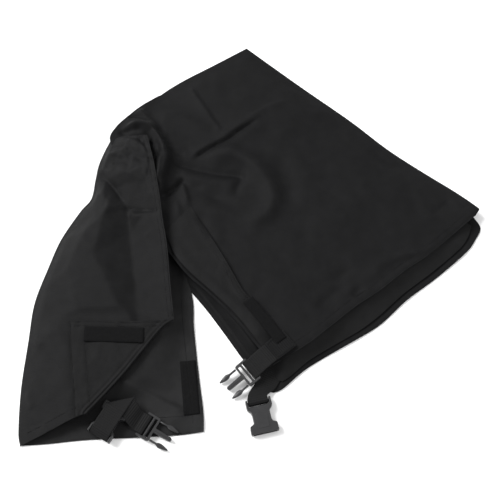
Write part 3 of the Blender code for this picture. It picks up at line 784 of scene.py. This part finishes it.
def flap_height(x, y):
    gap = to_line(x, y, FOLD)[0]
    hem = smooth(FLAP_HEM, 3)
    top = smooth(FLAP_TOP, 3)
    z = 23.9 - rolled_edge(gap, 1.5) - 0.9 * np.exp(-((gap - 3.2) / 1.0) ** 2)
    z = z + 0.7 * np.exp(-((gap - 5.2) / 1.1) ** 2) - 0.6 * np.exp(-((gap - 8.0) / 1.6) ** 2)
    z = z - ramp(to_line(x, y, hem)[0], 30, 0)
    z = z + rumple(x, y, 36.0, 1.3, 41.0) + rumple(x, y, 14.0, 0.35, 42.0)
    z = z + hem_relief(x, y, hem, 20.0, FLAP_HEM_ROWS, 43.0, 0.5)
    return z + hem_relief(x, y, top, 8.0, NARROW_ROWS, 45.0, 0.35)


def build_sleeve():
    columns = shares(120, 2.2, (0.5, 1.0, 1.6, 2.4, 3.4), (0.5, 1.2))
    rows = shares(450, 2.2, (0.5, 1.2, 2.0), (0.6, 1.4))
    right = np.vstack([FOLD, FREE[1:]])
    sides = curves(SLEEVE_BOTTOM, SLEEVE_TOP, SLEEVE_LEFT) + [right]
    upper = Cloth("sleeve_upper_cloth", sides, columns, rows, sleeve_height, 1)
    upper.build("sleeve_upper_panel", SLEEVE)

    left = [(-288, -287), (-293, -215), (-290, -155), (-286, -103), (-261, -13), (-223, 46),
            (-216, 97), (-202, 136)]
    sides = curves(LOWER_HEM, [(-202, 136), (-176, 118), (-150, 100)], left, LOWER_RIGHT)
    lower = Cloth("sleeve_lower_cloth", sides, shares(150, 2.4, (0.6, 1.4), (0.6, 1.4)),
                  shares(420, 2.6, (0.6, 1.3, 2.1), (1.0,)), sleeve_floor_height, 1)
    # This finish carries painted light that lifts the flap's shade on the lower layer.
    lower.build("sleeve_lower_panel", COATED_PAINTED_LIGHT)

    bottom = smooth([(-223, -257), (-208, -253)], 2)
    top_edge, hem_edge = curves(FLAP_TOP, FLAP_HEM)
    flap = Cloth("sleeve_flap_cloth", (bottom, top_edge, hem_edge, FOLD),
                 shares(100, 1.8, (0.5, 1.2), (0.4, 0.9, 1.5, 2.2, 3.0, 4.0)),
                 shares(140, 1.8, (0.6,), (0.6, 1.4)), flap_height, 1)
    flap.build("sleeve_corner_flap", LINING, body=None)

    hem, lower_hem, right_edge = curves(SLEEVE_BOTTOM, LOWER_HEM, LOWER_RIGHT[:5])
    runs = seams(upper, FREE, NARROW_ROWS, 2, -2) + seams(upper, hem, SLEEVE_HEM_ROWS, 4, -2)
    upper_thread = [stitches("sleeve_edge_stitches", runs)]
    runs = seams(lower, lower_hem, LOWER_HEM_ROWS, 20, -4)
    runs += seams(lower, right_edge, LOWER_SIDE_ROWS, 4, -2)
    lower_thread = [stitches("sleeve_lower_stitches", runs)]
    runs = seams(flap, hem_edge, FLAP_HEM_ROWS, 3, -1, -1)
    runs += seams(flap, top_edge, NARROW_ROWS, 2, -5, -1)
    flap_thread = [stitches("sleeve_flap_stitches", runs, "sleeve_flap")]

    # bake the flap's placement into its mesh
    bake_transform(flap.piece)


# ---------------------------------------------------------------- tape and webbing
def strip(name, node, line, width, level, pile, cloth=None, body="root"):
    """Hook-and-loop tape along a plan line: a woven border round a field of pile.

    It lies at a level, or at that height above a cloth's height function.
    """
    line = smooth(line, 1.0)
    line = at(line, np.linspace(0, 1, max(2, int(lengths(line)[-1] / TAPE_GRID))))
    run = lengths(line)
    across = np.linspace(-width / 2, width / 2, int(width / TAPE_GRID) + 1)
    points = np.stack([offset_line(line, -d) for d in across], axis=1)
    x, y = points[..., 0], points[..., 1]
    inside = np.minimum(width / 2 - np.abs(across)[None, :],
                        np.minimum(run, run[-1] - run)[:, None])
    field = ramp(inside, TAPE_BORDER - 0.5, TAPE_BORDER + 0.3)
    tufts = rumple(x, y, 1.5, 1.0, 51.0) + 0.6 * rumple(x, y, 5.0, 1.0, 53.0)
    base = cloth(x, y) + level if cloth else level
    top = base + TAPE_T * 0.55 - rolled_edge(np.clip(inside, 0, None), 0.5)
    top = top + field * (pile + 0.45 * pile * tufts)
    piece = new_object(name, grid_mesh(name, np.dstack([x, y, top])), PILE, body)
    solid_cloth(piece, TAPE_T * 0.6)
    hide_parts(node)


def pose_matrix(pose, tilted=True):
    where, heading, tilt = pose
    turn = Euler((math.radians(-tilt if tilted else 0), 0, math.radians(heading - 90)), "XYZ")
    return Matrix.Translation(Vector(where)) @ turn.to_matrix().to_4x4()


def webbing(name, nodes, sections, pose, body="root", thickness=WEBBING_T,
            finish=None):
    """Woven tape that stands for CAD nodes.

    Its sections (centre, direction across, half width) are in the frame of a buckle half.
    """
    raw = []
    for centre, across, half in sections:
        side = half * np.array(across, float) / np.linalg.norm(across)
        raw.append(np.concatenate([np.array(centre) - side, np.array(centre) + side]))
    raw = np.array(raw)
    ends = np.vstack([2 * raw[0] - raw[1], raw, 2 * raw[-1] - raw[-2]])
    middle = (ends[:, :3] + ends[:, 3:]) / 2
    dense = [raw[0]]
    for i in range(len(raw) - 1):
        a, b, c, d = ends[i:i + 4]
        gap = np.linalg.norm(middle[i + 2] - middle[i + 1])
        count = max(1, int(gap / 0.4))
        scale_in = min(1.0, gap / max(np.linalg.norm(middle[i + 1] - middle[i]), 1e-6))
        scale_out = min(1.0, gap / max(np.linalg.norm(middle[i + 3] - middle[i + 2]), 1e-6))
        start = 0.5 * ((b - a) * scale_in + (c - b))
        end = 0.5 * ((c - b) + (d - c) * scale_out)
        for t in np.arange(1, count + 1) / count:
            dense.append((2 * t ** 3 - 3 * t ** 2 + 1) * b + (t ** 3 - 2 * t ** 2 + t) * start
                         + (3 * t ** 2 - 2 * t ** 3) * c + (t ** 3 - t ** 2) * end)
    dense = np.array(dense)
    run = lengths((dense[:, :3] + dense[:, 3:]) / 2)
    steps = np.arange(0, run[-1], RIB / 6)
    edges = np.stack([np.interp(steps, run, dense[:, k]) for k in range(6)], axis=1)
    line = (edges[:, :3] + edges[:, 3:]) / 2
    side = (edges[:, 3:] - edges[:, :3]) / 2
    halves = np.linalg.norm(side, axis=1)
    side = side / halves[:, None]
    along = np.gradient(line, axis=0)
    normal = np.cross(side, along)
    normal /= np.linalg.norm(normal, axis=1)[:, None]
    place_across = np.array([-1, -0.985, -0.93, -0.86, -0.78, -0.4, 0, 0.4, 0.78, 0.86, 0.93,
                             0.985, 1])
    bulge = np.array([0.35, 0.75, 0.95, 1.0, 0.9, 0.92, 0.94, 0.92, 0.9, 1.0, 0.95, 0.75, 0.35])
    ribs = RIB_RELIEF * np.cos(2 * math.pi * steps / RIB)
    profile = []
    for face in (1, -1):
        for k in range(len(bulge))[::face]:
            half_t = thickness / 2 * bulge[k]
            fade = 1.0 if abs(place_across[k]) < 0.9 else 0.3
            out = line + side * (place_across[k] * halves)[:, None]
            profile.append(out + normal * (face * (half_t + ribs * fade * bulge[k]))[:, None])
    points = np.stack(profile, axis=1)
    count, sides = points.shape[:2]
    matrix = np.array(pose_matrix(pose, tilted=False))
    flat = points.reshape(-1, 3) @ matrix[:3, :3].T + matrix[:3, 3]
    faces = [(r * sides + k, r * sides + (k + 1) % sides, (r + 1) * sides + (k + 1) % sides,
              (r + 1) * sides + k) for r in range(count - 1) for k in range(sides)]
    faces.append(tuple(reversed(range(sides))))
    faces.append(tuple((count - 1) * sides + k for k in range(sides)))
    mesh = new_mesh(name, flat, faces)
    piece = new_object(name, mesh, finish or WEB, body)
    fix_normals(mesh)
    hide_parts(*nodes)
    return piece


def fix_normals(mesh):
    work = bmesh.new()
    work.from_mesh(mesh)
    bmesh.ops.recalc_face_normals(work, faces=work.faces)
    work.to_mesh(mesh)
    work.free()


def loop_sections(first, last):
    """The turn round a buckle's strap bar, from one angle to another (degrees)."""
    turn = []
    steps = 14
    for step in range(steps + 1):
        angle = math.radians(first + (last - first) * step / steps)
        centre = (0, BAR_LOOP * math.cos(angle), BAR_LOOP * math.sin(angle))
        turn.append((centre, (1, 0, 0), WEBBING / 2))
    return turn


def straight(*places):
    """Sections in the middle of the strap, at places (y, z)."""
    return [((0, y, z), (1, 0, 0), WEBBING / 2) for y, z in places]


def build_straps():
    path = straight((-62, 10.9), (-42, 11.0), (-22, 10.7), (-10, 6.4), (-5, 3.9))
    path += loop_sections(95, -90) + straight((-4, -3.0), (-8, -3.2))
    webbing("body_plug_webbing", ["body_plug_strap"], path, BODY_PLUG)

    path = [((0, -61.5, 12.4), (1, 0, 0), 13.2), ((0, -47, 12.5), (1, 0, 0), 13.4),
            ((0, -32, 12.4), (1, 0, 0), 13.2)]
    webbing("body_strap_patch_cloth", ["body_strap_patch"], path, BODY_PLUG,
            thickness=0.9, finish=SHELL)
    matrix = pose_matrix(BODY_PLUG, tilted=False)
    box = [(-11, -59), (11, -59), (11, -34.5), (-11, -34.5), (-11, -59)]
    stitches("body_strap_stitches", [[tuple(matrix @ Vector((x, y, 13.25))) for x, y in box]])

    path = [((-34, -42, -3.0), (0.76, -0.65, 0), 12.5), ((-15, -20, -1.5), (0.82, -0.57, 0.1), 12.5),
            ((-4, -11, 0.6), (0.97, -0.25, 0), 12.5)]
    path += straight((-5, 2.4)) + loop_sections(90, -90) + straight((-7, -2.9))
    webbing("body_socket_webbing", ["body_socket_strap"], path, BODY_SOCKET)

    path = straight((-24, -4.4), (-14, -4.0), (-7, -3.4), (-3, -3.0))
    path += loop_sections(-90, 90) + straight((-4, 2.9), (-8, 3.0))
    webbing("sleeve_plug_webbing", ["sleeve_plug_strap"], path, SLEEVE_PLUG)

    # the run from the other buckle, the folded corner, then the strap that lifts at its root
    root_y, root_z = 35.0, 8.3
    path = [((34, 38.3, -2.2), (0, 1, 0), 12.3), ((28, 39, -0.4), (0, 1, 0), 12.3),
            ((21, 41, 3.8), (0.1, 1, 0), 12.4), ((13, 44.5, 6.5), (0.1, 1, 0), 12.5),
            ((0, root_y + WEBBING / 2, root_z - 1.0), (0.707, 0.707, 0), 17.7),
            ((0, root_y + 0.5, root_z), (1, 0, 0), 12.5)]
    path += straight((root_y - 1.0, root_z), (14, 7.4), (5, 5.9)) + loop_sections(116, 350)
    lifted = webbing("sleeve_socket_webbing", ["sleeve_socket_strap", "sleeve_cinch_band"], path,
                     SLEEVE_SOCKET, None)
    matrix = pose_matrix(SLEEVE_SOCKET, tilted=False)
    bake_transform(lifted)


def build_tapes():
    strip("body_hook_tape", "body_slit_hook_strip", [(-15, -106), (27, -161)], 15.0, 24.6, 0.4)
    strip("body_loop_tape", "body_slit_loop_strip", [(-51, -79), (7, -139)], 19.0, 3.1, 0.4)
    strip("flap_hook_tape", "sleeve_slit_hook_strip", [(-144, -154), (-218, -152)], 20.0, 24.5, 0.4,
          body="sleeve_flap")
    strip("sleeve_loop_tape", "sleeve_slit_loop_strip", [(-83, -249), (-90, -180)], 19.5, 0.5, 0.5,
          sleeve_floor_height)


# ---------------------------------------------------------------- buckles
def outline_mesh(name, outlines, thickness):
    """A flat plate from outlines in mm: the first one outside, the rest holes."""
    curve = bpy.data.curves.new(name + "_outline", "CURVE")
    curve.dimensions = "2D"
    curve.fill_mode = "BOTH"
    curve.extrude = thickness / 2000.0
    for outline in outlines:
        spline = curve.splines.new("POLY")
        spline.points.add(len(outline) - 1)
        for point, (x, y) in zip(spline.points, outline):
            point.co = (x / 1000.0, y / 1000.0, 0.0, 1.0)
        spline.use_cyclic_u = True
    drawn = bpy.data.objects.new(name + "_outline", curve)
    bpy.context.scene.collection.objects.link(drawn)
    graph = bpy.context.evaluated_depsgraph_get()
    mesh = bpy.data.meshes.new_from_object(drawn.evaluated_get(graph))
    bpy.data.objects.remove(drawn, do_unlink=True)
    weld = bmesh.new()
    weld.from_mesh(mesh)
    bmesh.ops.remove_doubles(weld, verts=weld.verts, dist=1e-5)
    bmesh.ops.dissolve_limit(weld, angle_limit=0.02, verts=weld.verts, edges=weld.edges)
    bmesh.ops.recalc_face_normals(weld, faces=weld.faces)
    weld.to_mesh(mesh)
    weld.free()
    return mesh


def bevelled(piece, width, segments=3):
    edges = piece.modifiers.new("edges", "BEVEL")
    edges.width = width / 1000.0
    edges.segments = segments
    edges.limit_method = "ANGLE"
    edges.angle_limit = math.radians(35)
    edges.harden_normals = True
    apply_modifiers(piece)


def placed(name, mesh, pose, shift=(0, 0, 0)):
    """A moulding in the frame of its buckle half."""
    piece = bpy.data.objects.new(name, mesh)
    bpy.context.scene.collection.objects.link(piece)
    mesh.materials.clear()
    mesh.materials.append(MOULDED)
    local = pose_matrix(pose) @ Matrix.Translation(Vector(shift))
    local.translation = (local.translation + Vector(LAYOUT_SHIFT)) / 1000.0
    piece.matrix_world = local
    return piece


def joined(pieces):
    bpy.ops.object.select_all(action="DESELECT")
    for piece in pieces:
        piece.select_set(True)
    bpy.context.view_layer.objects.active = pieces[0]
    bpy.ops.object.join()
    return pieces[0]


def round_bar(name, length, radius, pose, shift=(0, 0, 0)):
    bar = bmesh.new()
    bmesh.ops.create_cone(bar, cap_ends=True, segments=24, radius1=radius / 1000.0,
                          radius2=radius / 1000.0, depth=length / 1000.0,
                          matrix=Matrix.Rotation(math.radians(90), 4, "Y"))
    mesh = bpy.data.meshes.new(name)
    bar.to_mesh(mesh)
    bar.free()
    mesh.shade_smooth()
    return placed(name, mesh, pose, shift)


def block(name, size, centre, pose):
    cube = bmesh.new()
    bmesh.ops.create_cube(cube, size=1.0)
    bmesh.ops.scale(cube, verts=cube.verts, vec=Vector(size) / 1000.0)
    mesh = bpy.data.meshes.new(name)
    cube.to_mesh(mesh)
    cube.free()
    return placed(name, mesh, pose, centre)


def both_sides(half):
    return half + [(-x, y) for x, y in reversed(half)]


def rounded(outline, radius, steps=4):
    """Round the corners of an outline."""
    out = []
    count = len(outline)
    for i in range(count):
        before, here, after = (np.array(outline[(i + k) % count], float) for k in (-1, 0, 1))
        cut = min(radius, np.linalg.norm(before - here) * 0.45, np.linalg.norm(after - here) * 0.45)
        a = here + (before - here) / max(np.linalg.norm(before - here), 1e-6) * cut
        b = here + (after - here) / max(np.linalg.norm(after - here), 1e-6) * cut
        for t in np.linspace(0, 1, steps + 1):
            out.append(tuple((1 - t) ** 2 * a + 2 * t * (1 - t) * here + t * t * b))
    return out


def finish_moulding(piece, body, node):
    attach(piece, body)
    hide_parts(node)


def build_plug(prefix, pose):
    name = prefix + "_plug"
    outer = [(13.2, 4.6), (13.2, -4.0), (15.2, -4.0), (15.8, -3.2), (15.8, 11.5), (14.2, 13.5),
             (2.9, 13.5), (2.5, 35.5), (1.4, 37.0)]
    slot = rounded(both_sides([(12.6, 7.4), (12.6, 10.8)]), 0.8)
    mesh = outline_mesh(name, [rounded(both_sides(outer), 0.9), slot], 4.4)
    plate = placed(name + "_moulding", mesh, pose)
    bevelled(plate, 0.55)
    bits = [plate, round_bar(name + "_bar", 28.0, 1.8, pose)]
    rib = block(name + "_rib", (25.6, 1.2, 0.7), (0, 6.0, 2.4), pose)
    bevelled(rib, 0.25, 2)
    spine = block(name + "_spine", (1.3, 21.0, 0.8), (0, 24.5, 2.4), pose)
    bevelled(spine, 0.3, 2)
    bits += [rib, spine]
    finish_moulding(joined(bits), name, name + "_frame")
    for side, label in ((-1, "left"), (1, "right")):
        arm = [(-1.1, 0.0), (-0.8, -0.75), (0, -1.0), (0.8, -0.75), (1.1, 0.0)]
        head = [(1.1, 8.0), (1.9, 10.4), (2.8, 12.3), (2.8, 14.4), (2.2, 18.0), (1.3, 21.4),
                (0.5, 24.4), (-0.4, 25.1), (-1.3, 23.0), (-2.4, 19.0), (-3.1, 15.0), (-2.6, 11.6),
                (-1.1, 8.6)]
        outline = [(side * x, y) for x, y in arm + head]
        mesh = outline_mesh(f"{name}_{label}", [outline], 4.0)
        prong = placed(f"{name}_prong_{label}_moulding", mesh, pose, (side * 12.7, 14.9, 0))
        bevelled(prong, 0.6)
        prong.data.shade_smooth()
        finish_moulding(prong, f"{name}_prong_{label}", f"{name}_prong_{label}")


def build_socket(prefix, pose):
    name = prefix + "_socket"
    half = [(13.2, 5.5), (13.2, -3.5), (15.7, -3.5), (15.7, 7.0), (14.2, 9.6), (12.0, 11.0),
            (11.0, 14.0), (11.0, 24.6), (12.2, 27.2), (16.4, 29.0), (17.0, 31.0), (17.2, 39.5)]
    mesh = outline_mesh(name, [rounded(both_sides(half), 1.1)], 8.5)
    shell = placed(name + "_moulding", mesh, pose)
    bevelled(shell, 1.5, 4)
    cavity = block(name + "_cavity", (29.0, 27.5, 5.2), (0, 26.75, 0), pose)
    hollow = shell.modifiers.new("cavity", "BOOLEAN")
    hollow.object = cavity
    hollow.operation = "DIFFERENCE"
    hollow.solver = "EXACT"
    apply_modifiers(shell)
    bpy.data.objects.remove(cavity, do_unlink=True)
    panel = rounded(both_sides([(7.2, 14.5), (7.2, 33.5)]), 2.0)
    raised = placed(name + "_panel", outline_mesh(name + "_panel", [panel], 0.8), pose, (0, 0, 4.2))
    bevelled(raised, 0.3, 2)
    bits = [shell, round_bar(name + "_bar", 28.0, 1.8, pose), raised]
    finish_moulding(joined(bits), name, name + "_shell")


# ---------------------------------------------------------------- camera, light, table
def build_stage():
    scene = bpy.context.scene
    table_mesh = bpy.data.meshes.new("table")
    table_mesh.from_pydata([(-6, -6, 0), (6, -6, 0), (6, 6, 0), (-6, 6, 0)], [], [(0, 1, 2, 3)])
    table = bpy.data.objects.new("table", table_mesh)
    scene.collection.objects.link(table)
    table_mesh.materials.append(new_material("pale_table", (0.93, 0.93, 0.93), 0.9, 0.1)[0])

    world = bpy.data.worlds.new("soft_studio")
    world.use_nodes = True
    background = world.node_tree.nodes["Background"]
    background.inputs["Color"].default_value = (1.0, 1.0, 1.0, 1.0)
    background.inputs["Strength"].default_value = 0.55
    scene.world = world

    # a broad soft light from the upper left, and a weak one from the right
    for name, towards, strength, spread in (("key", (-1.0, 0.55, 1.0), 4.3, 32.0),
                                            ("fill", (1.0, -0.3, 1.6), 1.1, 60.0)):
        lamp = bpy.data.lights.new(name, "SUN")
        lamp.energy = strength
        lamp.angle = math.radians(spread)
        light = bpy.data.objects.new(name, lamp)
        scene.collection.objects.link(light)
        light.location = towards
        light.rotation_euler = Vector(towards).to_track_quat("Z", "Y").to_euler()

    lens = bpy.data.cameras.new("view")
    lens.lens = 70.0
    lens.sensor_width = 36.0
    camera = bpy.data.objects.new("view", lens)
    scene.collection.objects.link(camera)
    camera.location = (-0.0118, -0.5659, 1.1628)
    camera.rotation_euler = (math.radians(25.0), 0.0, 0.0)
    scene.camera = camera
    scene.view_settings.view_transform = "Standard"


# ---------------------------------------------------------------- assembly
build_stage()
build_body()
build_sleeve()
build_straps()
build_tapes()
for prefix_name, plug_pose, socket_pose in (("body", BODY_PLUG, BODY_SOCKET),
                                            ("sleeve", SLEEVE_PLUG, SLEEVE_SOCKET)):
    build_plug(prefix_name, plug_pose)
    build_socket(prefix_name, socket_pose)
